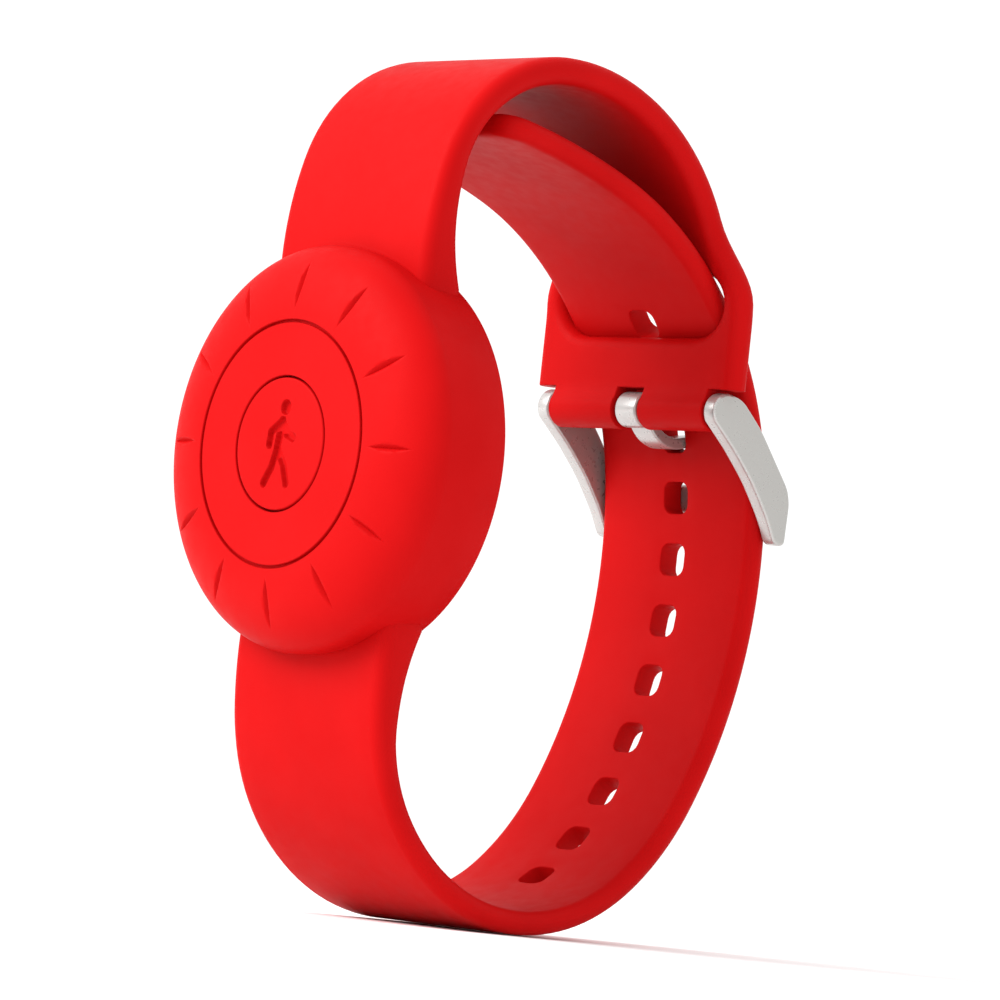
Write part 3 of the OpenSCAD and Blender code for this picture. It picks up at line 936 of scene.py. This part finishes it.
def circuit(name):
    """Solder mask over faint copper tracks."""
    surface = Surface(name, 0.32)
    tracks = surface.nodes.new("ShaderNodeTexVoronoi")
    tracks.distance = "MANHATTAN"
    tracks.inputs["Scale"].default_value = 1 / (1.6 * MM)
    surface.links.new(surface.space, tracks.inputs["Vector"])
    surface.colour(tracks.outputs["Distance"], (0.006, 0.075, 0.03), (0.012, 0.13, 0.05))
    surface.vary_roughness(surface.noise(0.5), 0.26, 0.4)
    surface.bump(tracks.outputs["Distance"], 0.02, 0.3)
    return surface.material


MATERIALS = {
    "red_silicone": silicone("red silicone"),
    "button_silicone": silicone("button silicone"),
    "steel": buckle_steel("satin steel with painted rim highlight"),
    "spring_steel": brushed_steel("spring steel", 0.2),
    "cell_can": brushed_steel("plated steel", 0.22, (1, 1, 1), (0.72, 0.72, 0.71)),
    "contact_metal": brushed_steel("plated brass strip", 0.28, (6, 1, 1), (0.8, 0.66, 0.36)),
    "capsule_plastic": plain("capsule plastic", (0.012, 0.012, 0.014), (0.022, 0.022, 0.025), 0.55),
    "seal_rubber": plain("seal rubber", (0.01, 0.01, 0.01), (0.018, 0.018, 0.018), 0.7),
    "board": circuit("circuit board"),
    "chip_black": plain("chip body", (0.008, 0.008, 0.01), (0.016, 0.016, 0.019), 0.5, grain=0.12),
    "ceramic": plain("fired ceramic", (0.5, 0.42, 0.3), (0.66, 0.57, 0.43), 0.35, grain=0.15),
    "led_body": plain("led resin", (0.75, 0.75, 0.68), (0.88, 0.88, 0.82), 0.15),
}


# ---------- pieces ----------

red = MATERIALS["red_silicone"]
steel = MATERIALS["steel"]
place(make_head(), "band", "red_silicone", red, "silicone_head")
button_material = MATERIALS["button_silicone"]
place(make_button(), "button", "button_silicone", button_material, "push_button")
place(make_hole_strap(), "band", "red_silicone", red, "hole_strap")
place(make_buckle_strap(), "band", "red_silicone", red, "buckle_strap")
place(make_side_plate("buckle_plate_right", 1), "buckle", "steel", steel, "buckle_frame")
place(make_side_plate("buckle_plate_left", -1), "buckle", "steel", steel, "buckle_frame")
place(make_crossbar(), "buckle", "steel", steel, "buckle_frame")
place(make_tongue(), "tongue", "steel", steel, "buckle_tongue")

slot_of = {part["node"]: part["material_slot"] for part in frame["record"]["subparts"]}
for node, obj in frame["nodes"].items():
    if not obj.hide_render:
        obj.data.materials.clear()
        obj.data.materials.append(MATERIALS[slot_of[node]])


# ---------- stage, light and camera ----------

AIM = Vector((12.49, 3.87, -2.75))


def towards(azimuth, elevation):
    """Unit vector from the band at an azimuth, from the front towards +X, and an elevation."""
    a, e = math.radians(azimuth), math.radians(elevation)
    return Vector((math.sin(a) * math.cos(e), -math.cos(a) * math.cos(e), math.sin(e)))


def make_stage():
    """A wide pale floor just under the band."""
    size = 3.0
    level = cad_box[0].z - 0.1 * MM
    mesh = bpy.data.meshes.new("floor")
    corners = [(-size, -size, level), (size, -size, level), (size, size, level), (-size, size, level)]
    mesh.from_pydata(corners, [], [(0, 1, 2, 3)])
    floor = bpy.data.objects.new("floor", mesh)
    bpy.context.scene.collection.objects.link(floor)
    surface = Surface("pale floor", 0.9, specular=0.0)
    surface.colour(surface.noise(60), (0.93, 0.93, 0.93), (0.95, 0.95, 0.95))
    mesh.materials.append(surface.material)


def add_light(name, azimuth, elevation, power, size):
    """A square soft light that faces the band, with its angles measured as the camera's are."""
    distance = 0.6
    data = bpy.data.lights.new(name, "AREA")
    data.energy = power
    data.size = size
    light = bpy.data.objects.new(name, data)
    back = towards(azimuth, elevation)
    light.location = AIM * MM + back * distance
    light.rotation_mode = "QUATERNION"
    light.rotation_quaternion = (-back).to_track_quat("-Z", "Y")
    bpy.context.scene.collection.objects.link(light)


def make_light():
    world = bpy.data.worlds.new("studio")
    world.use_nodes = True
    background = world.node_tree.nodes["Background"]
    background.inputs["Color"].default_value = (1, 1, 1, 1)
    background.inputs["Strength"].default_value = 1.12
    bpy.context.scene.world = world
    add_light("key", -25, 34, 4.2, 0.4)
    bpy.context.scene.view_settings.view_transform = "Standard"


def make_camera():
    azimuth = 48.548
    elevation = -3.132
    roll = math.radians(6.137)
    distance = 514.25
    back = towards(azimuth, elevation)
    level_right = towards(azimuth + 90, 0)
    level_up = back.cross(level_right)
    right = math.cos(roll) * level_right + math.sin(roll) * level_up
    up = math.cos(roll) * level_up - math.sin(roll) * level_right
    data = bpy.data.cameras.new("camera")
    data.lens = 219.03
    data.sensor_width = 36
    data.clip_start = 0.01
    camera = bpy.data.objects.new("camera", data)
    camera.matrix_world = Matrix.Translation((AIM + back * distance) * MM) @ Matrix(
        (right, up, back)
    ).transposed().to_4x4()
    bpy.context.scene.collection.objects.link(camera)
    bpy.context.scene.camera = camera


make_stage()
make_light()
make_camera()
